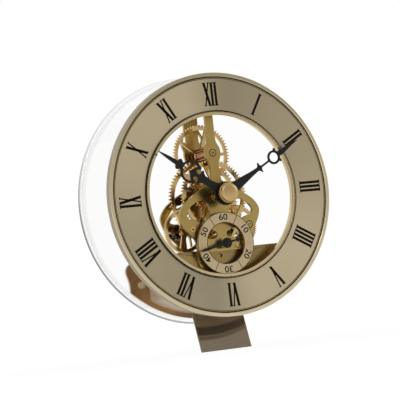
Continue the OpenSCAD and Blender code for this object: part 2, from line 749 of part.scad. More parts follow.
// Lower wheels
module right_arbor() {
  color(STEEL)
    dial_frame() {
      rod(right, pivot, 6.2, 8.3, $fn = 32);
      rod(right, 1.1, 8.3, 25, $fn = 32);
      pinion(right, 13, centre_module, ph_right_pinion, 25, 28, 0.001);
      rod(right, 1.1, 28, 31.7, $fn = 32);
      rod(right, pivot, 31.7, 34.1, $fn = 32);
    }
}
module right_wheel() {
  color(PALE)
    dial_frame() {
      wheel(right, 60, lower_module, ph_right, 22.6, 24.2, 1.12, 3.3, 2.2, 5, 0.75, 20);
      tube(right, 2.4, 1.12, 24.2, 24.95, $fn = 32);
    }
}
module left_arbor() {
  color(STEEL)
    dial_frame() {
      rod(left, pivot, 6.2, 8.3, $fn = 32);
      rod(left, 1.1, 8.3, 25, $fn = 32);
      pinion(left, 13, centre_module, ph_left_pinion, 25, 28, 0.001);
      rod(left, 3.8, 28.4, 30.9, $fn = 8);
      rod(left, 1.1, 28, 31.7, $fn = 32);
      rod(left, pivot, 31.7, 34.1, $fn = 32);
    }
}
module left_wheel() {
  color(PALE)
    dial_frame() {
      wheel(left, 60, lower_module, 0, 18.2, 19.8, 1.12, 3.3, 2.2, 5, 0.75, 37);
      tube(left, 2.4, 1.12, 16.6, 18.2, $fn = 32);
    }
}

// Centre and motion work
module centre_arbor() {
  color(STEEL)
    dial_frame() {
      rod([0, 0], 1.5, -10, 45, $fn = 48);
      rod([0, 0], 2.6, 15, 21.6, $fn = 48);
    }
}
module centre_wheel() {
  color(PALE)
    dial_frame() {
      wheel([0, 0], 65, centre_module, ph_centre, 25.6, 27.2, 1.52, 4.6, 3.1, 5, 1.1, 54);
      tube([0, 0], 3.4, 1.52, 27.2, 31.7);
    }
}
module cannon_pinion() {
  color(PALE)
    dial_frame() {
      pinion([0, 0], 24, motion_module, ph_cannon, 21.7, 23.9, 1.52);
      tube([0, 0], 3.4, 1.52, 23.9, 25.5);
    }
}
function arc(at, r, from, to, steps) =
  [for (i = [0:steps]) let (t = from + (to - from) * i / steps) [at[0] + r * sin(t), at[1] + r * cos(t)]];
minute_outline = both(concat([[0, 60.5], [0.25, 60], [0.8, 54], [1.45, 49.5], [1.8, 47], [1.75, 45.6], [1.5, 44.7]],
  arc([0, 40.2], 4.35, 22, 38, 2), [[3.3, 43.75], [4.2, 43.95], [4.8, 43.6], [4.8, 42.95], [4.2, 42.5]],
  arc([0, 40.2], 4.35, 66, 171, 10), [[0.6, 35.2], [0.6, 30.2], [0.95, 29.4], [1.7, 28.95], [3.35, 28.95],
  [3.4, 28.5], [1.9, 27.6], [1.15, 26.6], [1.6, 21], [2.5, 14], [3.2, 8], [3.5, 5]],
  arc([0, 0], 5.6, 43, 180, 12)));
module minute_hand() {
  color(BLACK)
    dial_frame()
      rotate(-minute_angle)
        slab(-6.8, -5.8)
          difference() {
            polygon(minute_outline);
            disc2d([0, 40.2], 2.95, $fn = 40);
            circle(r = 1.52, $fn = 32);
          }
}
module hand_cap() {
  color(BRASS)
    dial_frame()
      difference() {
        rotate_extrude()
          polygon([[0, 6.8], [6.1, 6.8], [6.35, 7.1], [6.35, 10.4], [6.1, 10.9], [5.3, 11.4], [3.6, 11.95],
            [1.8, 12.25], [0, 12.35]]);
        rod([0, 0], 1.52, -10.05, 0, $fn = 32);
      }
}
module set_knob() {
  color(BLACK)
    dial_frame()
      difference() {
        rotate_extrude()
          polygon([[0, -47], [5.4, -47], [6, -46.4], [6, -41.6], [5.6, -41.2], [3, -41.2], [3, -38.2], [0, -38.2]]);
        rod([0, 0], 1.52, 37, 45.05, $fn = 32);
      }
}
module minute_arbor() {
  color([0.72, 0.50, 0.32])
    dial_frame() {
      rod(upper, pivot, 6.2, 8.3, $fn = 32);
      rod(upper, 1.5, 8.3, 9.6, $fn = 32);
      pinion(upper, 15, hour_module, ph_long, 9.6, 21.4, 0.001);
      rod(upper, 1.5, 21.4, 28.2, $fn = 32);
      rod(upper, 3.3, 28.2, 30.6, $fn = 32);
      rod(upper, 1.5, 30.6, 31.7, $fn = 32);
      rod(upper, pivot, 31.7, 34.1, $fn = 32);
    }
}
module minute_wheel() {
  color(PALE)
    dial_frame() {
      wheel(upper, 60, motion_module, ph_minute, 22, 23.5, 1.52, 4.2, 2.6, 5, 1, 0);
      tube(upper, 3, 1.52, 23.5, 25, $fn = 32);
    }
}
module hour_wheel() {
  color(PALE)
    dial_frame()
      wheel([0, 0], 72, hour_module, ph_hour, 11, 12.5, 2.62, 5.2, 2.7, 5, 1.1, 18);
}
module hour_pipe() {
  color(PALE)
    dial_frame() {
      tube([0, 0], 2.6, 1.6, -5.3, 14.4, $fn = 48);
      tube([0, 0], 3.8, 2.6, 9, 10.9, $fn = 48);
    }
}
hour_outline = both(concat([[0, 50.5], [0.25, 50.1], [0.75, 46], [1.15, 42], [1.4, 38.6], [1.35, 37.4]],
  arc([2.05, 35.4], 1.4, -15, 140, 6), [[2.35, 33.5]], arc([0, 26.2], 7.1, 20, 126, 12),
  [[5.6, 21.3], [5, 20.95], [4.3, 21.15], [3.8, 21.9], [3.3, 22.8], [2.4, 23.2], [1.55, 22.9], [1.1, 22.1],
  [1.05, 21.2], [1.3, 20.5], [2.1, 20], [3.5, 20.1], [4.7, 19.5], [4.65, 18.9], [3.3, 17.9], [2.5, 16.6],
  [2.2, 14], [2.3, 11], [2.7, 8.5], [3.2, 6.75]], arc([0, 0], 7.3, 29, 180, 14)));
hour_cell = both(concat([[0, 31.9]], arc([0, 26.2], 5.7, 10, 112, 10),
  [[4.8, 23.7], [4, 24.5], [2.8, 25.4], [1.5, 26.1], [0.7, 26.7], [0, 27.9]]));
module hour_hand() {
  color(BLACK)
    dial_frame()
      rotate(-hour_angle)
        slab(-5.1, -4.1)
          difference() {
            polygon(hour_outline);
            polygon(hour_cell);
            circle(r = 2.62, $fn = 48);
          }
}

bezel();
dial_ring();
inner_trim();
drum();
rear_cover();
base_box();
base_face();
ear_screws();
case_posts();
tongue();
tongue_screws();
battery_door();
battery();
battery_contacts();
front_plate();
back_plate();
plate_pillars();
pillar_screws();
top_post();
front_bushes();
back_bushes();
arm_screws();
seconds_dial();
seconds_dial_feet();
module_posts();
module_plate();
module_screws();
stator();
stator_screws();
coil_bobbin();
coil_winding();
circuit_board();
crystal_can();
idler_stud();
rotor_magnet();
rotor_arbor();
intermediate_wheel();
seconds_arbor();
seconds_wheel();
seconds_gear();
seconds_hand();
idler_wheel();
transfer_arbor();
transfer_wheel();
right_arbor();
right_wheel();
left_arbor();
left_wheel();
centre_arbor();
centre_wheel();
cannon_pinion();
minute_hand();
hand_cap();
set_knob();
minute_arbor();
minute_wheel();
hour_wheel();
hour_pipe();
hour_hand();
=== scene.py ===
# Skeleton clock movement: finishes, printed dial, knurling and the photograph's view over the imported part
import json
import math

import bmesh
import bpy
from mathutils import Matrix, Vector


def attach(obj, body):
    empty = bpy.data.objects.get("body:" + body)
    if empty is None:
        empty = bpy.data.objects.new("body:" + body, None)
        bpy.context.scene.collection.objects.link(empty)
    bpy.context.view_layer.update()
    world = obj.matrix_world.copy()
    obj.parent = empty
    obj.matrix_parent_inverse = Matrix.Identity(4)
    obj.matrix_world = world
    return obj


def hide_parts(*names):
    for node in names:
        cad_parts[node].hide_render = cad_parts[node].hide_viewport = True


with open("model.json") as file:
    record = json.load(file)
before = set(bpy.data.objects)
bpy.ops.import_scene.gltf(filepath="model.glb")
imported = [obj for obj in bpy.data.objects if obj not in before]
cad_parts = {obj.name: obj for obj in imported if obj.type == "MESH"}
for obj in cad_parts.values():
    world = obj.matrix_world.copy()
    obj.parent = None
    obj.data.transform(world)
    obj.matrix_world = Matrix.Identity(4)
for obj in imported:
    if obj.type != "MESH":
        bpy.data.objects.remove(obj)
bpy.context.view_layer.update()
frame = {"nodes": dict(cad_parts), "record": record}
NODES = frame["nodes"]

# Dial coordinates: x right, y behind the dial face, z up from the dial centre, in millimetres
DIAL = Vector((0.0, -0.0183, 0.095))
MM = 0.001
DIAL_CENTRE = (0.0, 0.0)
SECONDS_CENTRE = (0.0, -30.0)
FULL_TURN = 2 * math.pi
QUARTER_TURN = math.pi / 2
WHITE = (1.0, 1.0, 1.0, 1.0)


def spot(x, y, z):
    """A point given in dial millimetres, in the frame of the part"""
    return DIAL + Vector((x, y, z)) * MM


def rgb(r, g, b):
    """A colour written as it is seen, as Blender's linear colour"""
    def one(c):
        c /= 255
        return c / 12.92 if c <= 0.04045 else ((c + 0.055) / 1.055) ** 2.4
    return (one(r), one(g), one(b), 1.0)


# Shader nodes
def feed(tree, value, socket):
    """Links another node's output to a socket, or sets a plain value on it"""
    if isinstance(value, bpy.types.NodeSocket):
        tree.links.new(value, socket)
    else:
        socket.default_value = value


def math_node(tree, kind, *values):
    node = tree.nodes.new("ShaderNodeMath")
    node.operation = kind
    for socket, value in zip(node.inputs, values):
        feed(tree, value, socket)
    return node.outputs[0]


def split(tree, vector):
    """The x, y and z of a vector"""
    node = tree.nodes.new("ShaderNodeSeparateXYZ")
    tree.links.new(vector, node.inputs[0])
    return tuple(node.outputs)


# Where a mix of colours has its sockets, since their names come more than once
MIX_A, MIX_B, MIX_RESULT = 6, 7, 2


def tone(tree, factor, low, high):
    """Mixes two colours by a changing factor"""
    mix = tree.nodes.new("ShaderNodeMix")
    mix.data_type = "RGBA"
    for socket, value in ((0, factor), (MIX_A, low), (MIX_B, high)):
        feed(tree, value, mix.inputs[socket])
    return mix.outputs[MIX_RESULT]


def spread(tree, value, low, high, start=0.0, end=1.0):
    """Goes from low to high while a value goes from start to end, and holds still beyond them"""
    node = tree.nodes.new("ShaderNodeMapRange")
    numbers = {"Value": value, "From Min": start, "From Max": end, "To Min": low, "To Max": high}
    for label, number in numbers.items():
        feed(tree, number, node.inputs[label])
    return node.outputs["Result"]


def noise(tree, vector, scale, detail, rough):
    node = tree.nodes.new("ShaderNodeTexNoise")
    for label, value in {"Vector": vector, "Scale": scale, "Detail": detail, "Roughness": rough}.items():
        feed(tree, value, node.inputs[label])
    return node.outputs["Fac"]


def place(tree, group, **values):
    """Sets a node group in a material with its own values"""
    node = tree.nodes.new("ShaderNodeGroup")
    node.node_tree = group
    for label, value in values.items():
        feed(tree, value, node.inputs[label.replace("_", " ")])
    return node


# Effects that several finishes share
def new_group(name, ins, outs):
    group = bpy.data.node_groups.new(name, "ShaderNodeTree")
    for label, kind, value in ins:
        socket = group.interface.new_socket(name=label, in_out="INPUT", socket_type="NodeSocket" + kind)
        if value is not None:
            socket.default_value = value
    for label, kind in outs:
        group.interface.new_socket(name=label, in_out="OUTPUT", socket_type="NodeSocket" + kind)
    return group, group.nodes.new("NodeGroupInput"), group.nodes.new("NodeGroupOutput")


def turned_group():
    """Fine rings cut by a lathe round a point of the dial"""
    group, given, result = new_group(
        "turned rings",
        [("Vector", "Vector", None), ("Centre X", "Float", 0.0), ("Centre Z", "Float", DIAL.z),
         ("Rings", "Float", 4000.0)],
        [("Height", "Float"), ("Radius", "Float")])
    x, _, z = split(group, given.outputs["Vector"])
    across = math_node(group, "SUBTRACT", x, given.outputs["Centre X"])
    up = math_node(group, "SUBTRACT", z, given.outputs["Centre Z"])
    squares = [math_node(group, "MULTIPLY", side, side) for side in (across, up)]
    radius = math_node(group, "SQRT", math_node(group, "ADD", *squares))
    cut = group.nodes.new("ShaderNodeTexNoise")
    cut.noise_dimensions = "1D"
    for label, value in {"W": radius, "Scale": given.outputs["Rings"], "Detail": 2.0}.items():
        feed(group, value, cut.inputs[label])
    group.links.new(cut.outputs["Fac"], result.inputs["Height"])
    group.links.new(radius, result.inputs["Radius"])
    return group


def grain_group():
    """Straight brushed grain along one direction"""
    group, given, result = new_group(
        "brushed grain",
        [("Vector", "Vector", None), ("Turn", "Vector", (0.0, 0.0, 0.0)), ("Lines", "Float", 3000.0)],
        [("Height", "Float")])
    turn = group.nodes.new("ShaderNodeMapping")
    group.links.new(given.outputs["Vector"], turn.inputs["Vector"])
    group.links.new(given.outputs["Turn"], turn.inputs["Rotation"])
    stretch = group.nodes.new("ShaderNodeVectorMath")
    stretch.operation = "MULTIPLY"
    group.links.new(turn.outputs[0], stretch.inputs[0])
    stretch.inputs[1].default_value = (1.0, 1.0, 0.025)
    height = noise(group, stretch.outputs[0], given.outputs["Lines"], detail=3.0, rough=0.6)
    group.links.new(height, result.inputs["Height"])
    return group


def patina_group():
    """Slow change of colour and gloss, as lacquered brass has, with small darker specks"""
    group, given, result = new_group(
        "lacquer and handling",
        [("Vector", "Vector", None), ("Light", "Color", (0.8, 0.7, 0.4, 1.0)),
         ("Deep", "Color", (0.6, 0.4, 0.2, 1.0)), ("Size", "Float", 60.0), ("Amount", "Float", 0.5),
         ("Gloss low", "Float", 0.15), ("Gloss high", "Float", 0.3)],
        [("Color", "Color"), ("Roughness", "Float"), ("Cloud", "Float")])
    where = given.outputs["Vector"]
    wide = noise(group, where, given.outputs["Size"], detail=4.0, rough=0.55)
    cloud = spread(group, wide, 0.0, 1.0, start=0.35, end=0.68)
    small = noise(group, where, scale=900.0, detail=2.0, rough=0.7)
    specks = spread(group, small, 0.0, 0.35, start=0.64, end=0.78)
    amount = math_node(group, "MULTIPLY", math_node(group, "MAXIMUM", cloud, specks), given.outputs["Amount"])
    colour = tone(group, amount, given.outputs["Light"], given.outputs["Deep"])
    gloss = spread(group, cloud, given.outputs["Gloss low"], given.outputs["Gloss high"])
    for value, label in ((colour, "Color"), (gloss, "Roughness"), (cloud, "Cloud")):
        group.links.new(value, result.inputs[label])
    return group


def wall_group():
    """1 on walls that face sideways, up or down, and 0 on faces that look forward or back"""
    group, given, result = new_group("side walls", [("Normal", "Vector", None)], [("Wall", "Float")])
    away = math_node(group, "ABSOLUTE", split(group, given.outputs["Normal"])[1])
    wall = spread(group, away, 1.0, 0.0, start=0.1, end=0.5)
    group.links.new(wall, result.inputs["Wall"])
    return group


TURNED = turned_group()
GRAIN = grain_group()
PATINA = patina_group()
WALLS = wall_group()


# Finishes
def blank(name):
    """A material with its Principled shader and the object coordinates"""
    material = bpy.data.materials.new(name)
    material.use_nodes = True
    tree = material.node_tree
    shader = tree.nodes["Principled BSDF"]
    where = tree.nodes.new("ShaderNodeTexCoord").outputs["Object"]
    return material, tree, shader, where


def relief(tree, shader, height, depth):
    """Presses a pattern of the given depth, in metres, into the surface"""
    bump = tree.nodes.new("ShaderNodeBump")
    bump.inputs["Distance"].default_value = depth
    tree.links.new(height, bump.inputs["Height"])
    tree.links.new(bump.outputs["Normal"], shader.inputs["Normal"])


def metal(name, light, deep, gloss, size, amount, grain=None, turned=None, depth=2e-6, bare=1.0):
    """Lacquered or bare metal, with a brushed grain (turn, lines) or turned on a lathe (centre, rings)"""
    material, tree, shader, where = blank(name)
    shader.inputs["Metallic"].default_value = bare
    lacquer = place(tree, PATINA, Vector=where, Light=light, Deep=deep, Size=size, Amount=amount,
                    Gloss_low=gloss[0], Gloss_high=gloss[1])
    tree.links.new(lacquer.outputs["Color"], shader.inputs["Base Color"])
    tree.links.new(lacquer.outputs["Roughness"], shader.inputs["Roughness"])
    if turned:
        (x, z), rings = turned
        cut = place(tree, TURNED, Vector=where, Centre_X=x * MM, Centre_Z=DIAL.z + z * MM, Rings=rings)
        relief(tree, shader, cut.outputs["Height"], depth)
    elif grain:
        turn, lines = grain
        brushed = place(tree, GRAIN, Vector=where, Turn=turn, Lines=lines)
        relief(tree, shader, brushed.outputs["Height"], depth)
    return material


def painted(name, colour, other, gloss, size, depth, coat=0.0, shine=0.5):
    """Paint, plastic or ink with a fine grain"""
    material, tree, shader, where = blank(name)
    grain = noise(tree, where, size, detail=4.0, rough=0.6)
    share = spread(tree, grain, 0.0, 1.0, start=0.35, end=0.65)
    tree.links.new(tone(tree, share, colour, other), shader.inputs["Base Color"])
    tree.links.new(spread(tree, grain, *gloss, start=0.3, end=0.7), shader.inputs["Roughness"])
    shader.inputs["Specular IOR Level"].default_value = shine
    if coat:
        shader.inputs["Coat Weight"].default_value = coat
        shader.inputs["Coat Roughness"].default_value = 0.08
    relief(tree, shader, grain, depth)
    return material


def paint_shade_higher_up(material, colour, low, high):
    """Paints shade into a finish, deepening it slowly from one height to another, as the rim that faces the
    dim ceiling looks darker
    """
    tree = material.node_tree
    socket = tree.nodes["Principled BSDF"].inputs["Base Color"]
    before = socket.links[0].from_socket
    height = split(tree, tree.nodes["Texture Coordinate"].outputs["Object"])[2]
    share = spread(tree, height, 0.0, 0.75, start=low, end=high)
    tree.links.new(tone(tree, share, before, colour), socket)


# How much of the painted reflection colour the walls take, and how much less metal and more rough they are
WALL_REFLECTION_SHARE = 0.85
WALL_METAL = 0.2
WALL_ROUGHER = 0.2


def paint_wall_reflection(material, colour):
    """Paints the walls of a finish in the colour that they reflect, a painted reflection, with less metal and
    less gloss than its faces have
    """
    tree = material.node_tree
    shader = tree.nodes["Principled BSDF"]
    normal = tree.nodes["Texture Coordinate"].outputs["Normal"]
    wall = place(tree, WALLS, Normal=normal).outputs["Wall"]
    before = shader.inputs["Base Color"].links[0].from_socket
    share = math_node(tree, "MULTIPLY", wall, WALL_REFLECTION_SHARE)
    tree.links.new(tone(tree, share, before, colour), shader.inputs["Base Color"])
    bare = shader.inputs["Metallic"].default_value
    tree.links.new(spread(tree, wall, bare, WALL_METAL), shader.inputs["Metallic"])
    gloss = shader.inputs["Roughness"].links[0].from_socket
    rougher = math_node(tree, "MULTIPLY", wall, WALL_ROUGHER)
    tree.links.new(math_node(tree, "ADD", gloss, rougher), shader.inputs["Roughness"])


# Painted reflection: light and dark along half a turn of the dial, as circular brushing reflects the lamps,
# from its foot over the left to the top, and on in the same way
PAINTED_SHEEN_FANS = ((0.0, 0.35), (0.05, 0.0), (0.25, 0.3), (0.43, 0.42), (0.6, 0.85), (0.75, 1.0), (0.92, 0.9),
        (1.0, 0.35))


def paint_sheen_fans(tree, where):
    """Painted reflection: the light and dark fans that circular brushing shows under the lamps, painted round
    the dial into its colour, with fine rings in them
    """
    x, _, z = split(tree, where)
    high = math_node(tree, "SUBTRACT", z, DIAL.z)
    turn = math_node(tree, "DIVIDE", math_node(tree, "ARCTAN2", x, high), math.pi)
    rings = place(tree, TURNED, Vector=where, Centre_X=0.0, Centre_Z=DIAL.z, Rings=5200.0).outputs["Height"]
    blur = spread(tree, rings, -0.03, 0.03, start=0.3, end=0.7)
    share = math_node(tree, "FRACT", math_node(tree, "ADD", math_node(tree, "ADD", turn, 1.0), blur))
    ramp = tree.nodes.new("ShaderNodeValToRGB")
    tree.links.new(share, ramp.inputs[0])
    stops = ramp.color_ramp.elements
    while len(stops) < len(PAINTED_SHEEN_FANS):
        stops.new(0.5)
    for stop, (at, value) in zip(stops, PAINTED_SHEEN_FANS):
        stop.position = at
        stop.color = (value, value, value, 1.0)
    return ramp.outputs[0], rings


def dial_finish():
    """Champagne dial with circular brushing, with the brushing's fans of light and dark painted into its
    colour as a painted reflection
    """
    material, tree, shader, where = blank("dial_champagne")
    shader.inputs["Metallic"].default_value = 0.75
    fan, rings = paint_sheen_fans(tree, where)
    lacquer = place(tree, PATINA, Vector=where, Light=rgb(206, 190, 158), Deep=rgb(196, 180, 144), Size=22.0,
                    Amount=0.6, Gloss_low=0.36, Gloss_high=0.46)
    # The dark and the light side of the painted reflection fans
    dark = tone(tree, lacquer.outputs["Cloud"], rgb(160, 149, 122), rgb(155, 141, 112))
    shade = tone(tree, fan, dark, lacquer.outputs["Color"])
    fine = spread(tree, rings, 0.0, 0.25, start=0.35, end=0.7)
    tree.links.new(tone(tree, fine, shade, rgb(150, 138, 110)), shader.inputs["Base Color"])
    tree.links.new(lacquer.outputs["Roughness"], shader.inputs["Roughness"])
    relief(tree, shader, rings, depth=1.5e-6)
    return material


CLEAR_ALPHA = 0.03
# How opaque the painted reflection line at the rear rim is
RIM_ALPHA = 0.85


def clear_finish():
    """Clear acrylic of the drum: almost unseen, with a painted reflection at its outer rim at the rear as a
    thin grey line, and a little more body near the rear brim
    """
    material, tree, shader, where = blank("clear_acrylic")
    _, depth, height = split(tree, where)
    round_dial = place(tree, TURNED, Vector=where, Centre_X=0.0, Centre_Z=DIAL.z, Rings=900.0)
    radius = round_dial.outputs["Radius"]
    # Painted reflection: the dark line that the rear rim shows, fainter towards the top
    rear_end = spread(tree, depth, 0.0, 1.0, start=DIAL.y + 40.3 * MM, end=DIAL.y + 41.0 * MM)
    outside = spread(tree, radius, 0.0, 1.0, start=76.0 * MM, end=76.7 * MM)
    fainter_up = spread(tree, height, 1.0, 0.35, start=DIAL.z - 10 * MM, end=DIAL.z + 65 * MM)
    rim = math_node(tree, "MULTIPLY", math_node(tree, "MULTIPLY", rear_end, outside), fainter_up)
    brim = spread(tree, radius, 0.0, 1.0, start=73.5 * MM, end=74.5 * MM)
    behind = spread(tree, depth, 0.0, 0.12, start=DIAL.y + 34 * MM, end=DIAL.y + 38 * MM)
    rear_brim_body = math_node(tree, "MULTIPLY", brim, behind)
    haze = noise(tree, where, scale=35.0, detail=3.0, rough=0.5)
    pale = tone(tree, haze, (0.42, 0.39, 0.36, 1.0), (0.62, 0.58, 0.55, 1.0))
    tree.links.new(tone(tree, rim, pale, (0.09, 0.10, 0.095, 1.0)), shader.inputs["Base Color"])
    shader.inputs["Transmission Weight"].default_value = 1.0
    shader.inputs["IOR"].default_value = 1.08
    body = math_node(tree, "ADD", CLEAR_ALPHA, rear_brim_body)
    line = math_node(tree, "MULTIPLY", rim, RIM_ALPHA)
    tree.links.new(math_node(tree, "MAXIMUM", body, line), shader.inputs["Alpha"])
    tree.links.new(spread(tree, haze, 0.0, 0.02, start=0.35, end=0.7), shader.inputs["Roughness"])
    return material


# Directions of a brushing
UPRIGHT = (0.0, 0.0, 0.0)
LEANING = (0.0, 0.35, 0.0)
SLANTING = (0.0, 1.2, 0.0)
ACROSS = (0.0, QUARTER_TURN, 0.0)
ALONG_ARBORS = (QUARTER_TURN, 0.0, 0.0)

FINISH = {
    "bezel_gold": metal("bezel_pale_gold", rgb(215, 201, 167), rgb(198, 182, 143),
                        gloss=(0.16, 0.26), size=40.0, amount=0.5, turned=(DIAL_CENTRE, 6000.0)),
    "dial_pewter": dial_finish(),
    "trim_gold": metal("trim_pale_gold", rgb(208, 190, 150), rgb(180, 156, 112),
                       gloss=(0.18, 0.28), size=60.0, amount=0.5, turned=(DIAL_CENTRE, 6000.0)),
    "clear_plastic": clear_finish(),
    "base_gold": metal("base_dark_gold", rgb(188, 146, 80), rgb(134, 98, 42),
                       gloss=(0.14, 0.3), size=30.0, amount=0.8, grain=(UPRIGHT, 2500.0), bare=0.6),
    "plate_gold": metal("plate_satin_gold", rgb(182, 158, 96), rgb(154, 124, 64),
                        gloss=(0.22, 0.34), size=45.0, amount=0.6, grain=(LEANING, 4200.0)),
    "wheel_gold": metal("wheel_brass", rgb(222, 194, 134), rgb(176, 122, 60),
                        gloss=(0.12, 0.24), size=90.0, amount=0.6, grain=(SLANTING, 4500.0)),
    "steel": metal("turned_steel", rgb(190, 188, 184), rgb(150, 146, 140),
                   gloss=(0.12, 0.28), size=120.0, amount=0.5, grain=(ALONG_ARBORS, 4000.0)),
    "black_metal": painted("hands_satin_black", rgb(18, 14, 12), rgb(28, 22, 19),
                           gloss=(0.36, 0.48), size=900.0, depth=3e-6, shine=0.24),
    "tongue_mirror": metal("tongue_dark_mirror", rgb(150, 136, 116), rgb(128, 112, 90),
                           gloss=(0.07, 0.13), size=25.0, amount=0.6, grain=(UPRIGHT, 2200.0),
                           depth=2e-7, bare=0.7),
    "dark_screw": metal("browned_screws", rgb(96, 76, 54), rgb(60, 46, 32),
                        gloss=(0.2, 0.34), size=200.0, amount=0.6, grain=(ACROSS, 5000.0)),
    "pinion_copper": metal("red_brass", rgb(178, 124, 80), rgb(126, 78, 44),
                           gloss=(0.14, 0.26), size=110.0, amount=0.6, grain=(ALONG_ARBORS, 4200.0)),
    "cap_brass": metal("cap_turned_brass", rgb(196, 168, 116), rgb(166, 134, 84),
                       gloss=(0.26, 0.38), size=90.0, amount=0.5, turned=(DIAL_CENTRE, 7000.0), depth=3e-6),
    "knob_black": painted("knob_black_plastic", rgb(28, 28, 30), rgb(36, 36, 38),
                          gloss=(0.36, 0.5), size=700.0, depth=6e-6),
    "board_green": painted("board_green_mask", rgb(38, 104, 62), rgb(28, 84, 50),
                           gloss=(0.25, 0.4), size=500.0, depth=4e-6, coat=0.3),
    "bobbin_white": painted("bobbin_moulded", rgb(222, 218, 206), rgb(206, 202, 190),
                            gloss=(0.4, 0.55), size=500.0, depth=6e-6),
    "coil_copper": metal("coil_wire", rgb(176, 96, 52), rgb(138, 68, 34),
                         gloss=(0.2, 0.34), size=150.0, amount=0.5, grain=(ALONG_ARBORS, 6000.0),
                         depth=1.2e-5),
    "magnet_grey": metal("magnet_sintered", rgb(104, 104, 108), rgb(80, 80, 84),
                         gloss=(0.4, 0.55), size=600.0, amount=0.6, grain=(UPRIGHT, 900.0)),
    "battery_sleeve": painted("battery_plain_sleeve", rgb(46, 46, 50), rgb(58, 56, 58),
                              gloss=(0.28, 0.4), size=300.0, depth=3e-6, coat=0.4),
}
# Painted shade: the bezel is deepened towards its top
paint_shade_higher_up(FINISH["bezel_gold"], rgb(170, 160, 132), low=DIAL.z + 10 * MM, high=DIAL.z + 70 * MM)
# Painted reflection on the walls: pale on the base's walls that face the white floor and studio, deeper on
# the bezel's walls
paint_wall_reflection(FINISH["bezel_gold"], rgb(160, 143, 120))
paint_wall_reflection(FINISH["base_gold"], rgb(212, 194, 170))

# Finishes of single pieces, where the real one differs from others of its slot; the ear screws' pale finish
# also carries a painted highlight
FINISH_OF_ONE = {
    "seconds_dial": metal("seconds_champagne", rgb(196, 176, 140), rgb(182, 160, 122),
                          gloss=(0.4, 0.5), size=30.0, amount=0.5, turned=(SECONDS_CENTRE, 5200.0),
                          depth=1e-6),
    "base_face": metal("base_face_bronze", rgb(158, 136, 88), rgb(132, 108, 62),
                       gloss=(0.2, 0.32), size=40.0, amount=0.6, grain=(ACROSS, 4200.0)),
    # Pale screw heads, made near white so that their colour also holds a painted highlight
    "ear_screws": metal("ear_screw_pale_painted_highlight", rgb(250, 240, 216), rgb(230, 212, 176),
                        gloss=(0.2, 0.34), size=200.0, amount=0.5, bare=0.6),
}
INK = painted("printed_ink", rgb(16, 9, 4), rgb(26, 16, 8),
              gloss=(0.55, 0.7), size=1500.0, depth=1e-6, shine=0.05)
ROPE = metal("rope_bronzed_gold", rgb(214, 198, 160), rgb(168, 146, 104),
             gloss=(0.2, 0.34), size=500.0, amount=0.7)
# Painted shade: brown for the grooves between the rope ridges
GROOVE_SHADE_BROWN = painted("painted_groove_shade", rgb(116, 97, 66), rgb(94, 76, 48),
                gloss=(0.5, 0.65), size=1500.0, depth=1e-6, shine=0.2)

for part in frame["record"]["subparts"]:
    skin = NODES[part["node"]].data.materials
    skin.clear()
    skin.append(FINISH_OF_ONE.get(part["node"], FINISH[part["material_slot"]]))


# Mesh helpers
SHARP_EDGE = math.radians(35)
TOUCHING = 1e-7


def linked(name, data):
    """An object of the scene that holds a mesh, a text, a lamp's light or a lens"""
    made = bpy.data.objects.new(name, data)
    bpy.context.scene.collection.objects.link(made)
    return made


def seat(name, mesh, material, body):
    """Gives a mesh its finish and lets it ride on its body"""
    mesh.materials.clear()
    mesh.materials.append(material)
    made = linked(name, mesh)
    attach(made, body)
    return made


def piece(name, tool, material, body, smooth=False):
    """Makes a finished piece of a bmesh, with flat faces or with smooth ones between sharp edges"""
    mesh = bpy.data.meshes.new(name)
    tool.to_mesh(mesh)
    tool.free()
    if smooth:
        mesh.shade_smooth()
        mesh.set_sharp_from_angle(angle=SHARP_EDGE)
    return seat(name, mesh, material, body)


def corners_of(geometry):
    return [item for item in geometry if isinstance(item, bmesh.types.BMVert)]


def prism(tool, points, front, back, turn=0.0, centre=DIAL_CENTRE):
    """A flat outline, turned round a point of the dial and made thick from the front to the back depth"""
    cosine, sine = math.cos(turn), math.sin(turn)
    corners = []
    for across, up in points:
        x = across * cosine + up * sine + centre[0]
        z = -across * sine + up * cosine + centre[1]
        corners.append(tool.verts.new(spot(x, front, z)))
    grown = bmesh.ops.extrude_face_region(tool, geom=[tool.faces.new(corners)])
    bmesh.ops.translate(tool, verts=corners_of(grown["geom"]), vec=Vector((0, (back - front) * MM, 0)))


def spin(tool, corners, edges, steps, centre):
    """Turns a section fully round a point of the dial"""
    bmesh.ops.spin(tool, geom=corners + edges, cent=spot(centre[0], 0, centre[1]), axis=(0, 1, 0),
                   angle=FULL_TURN, steps=steps, use_merge=True, use_duplicate=False)


def ring(tool, inner, outer, front, back, steps=192, centre=DIAL_CENTRE):
    """A flat ring round a point of the dial"""
    section = ((inner, front), (outer, front), (outer, back), (inner, back))
    corners = [tool.verts.new(spot(centre[0] + radius, y, centre[1])) for radius, y in section]
    edges = [tool.edges.new(pair) for pair in zip(corners, corners[1:] + corners[:1])]
    spin(tool, corners, edges, steps, centre)


def closed(tool):
    bmesh.ops.remove_doubles(tool, verts=tool.verts, dist=TOUCHING)
    bmesh.ops.recalc_face_normals(tool, faces=tool.faces)
    return tool


def turned_form(profile, steps=96, centre=DIAL_CENTRE):
    """Turns a profile of radius and depth, which starts and ends on the axis, into a closed body"""
    tool = bmesh.new()
    corners = [tool.verts.new(spot(centre[0] + radius, y, centre[1])) for radius, y in profile]
    edges = [tool.edges.new(pair) for pair in zip(corners, corners[1:])]
    spin(tool, corners, edges, steps, centre)
    return closed(tool)


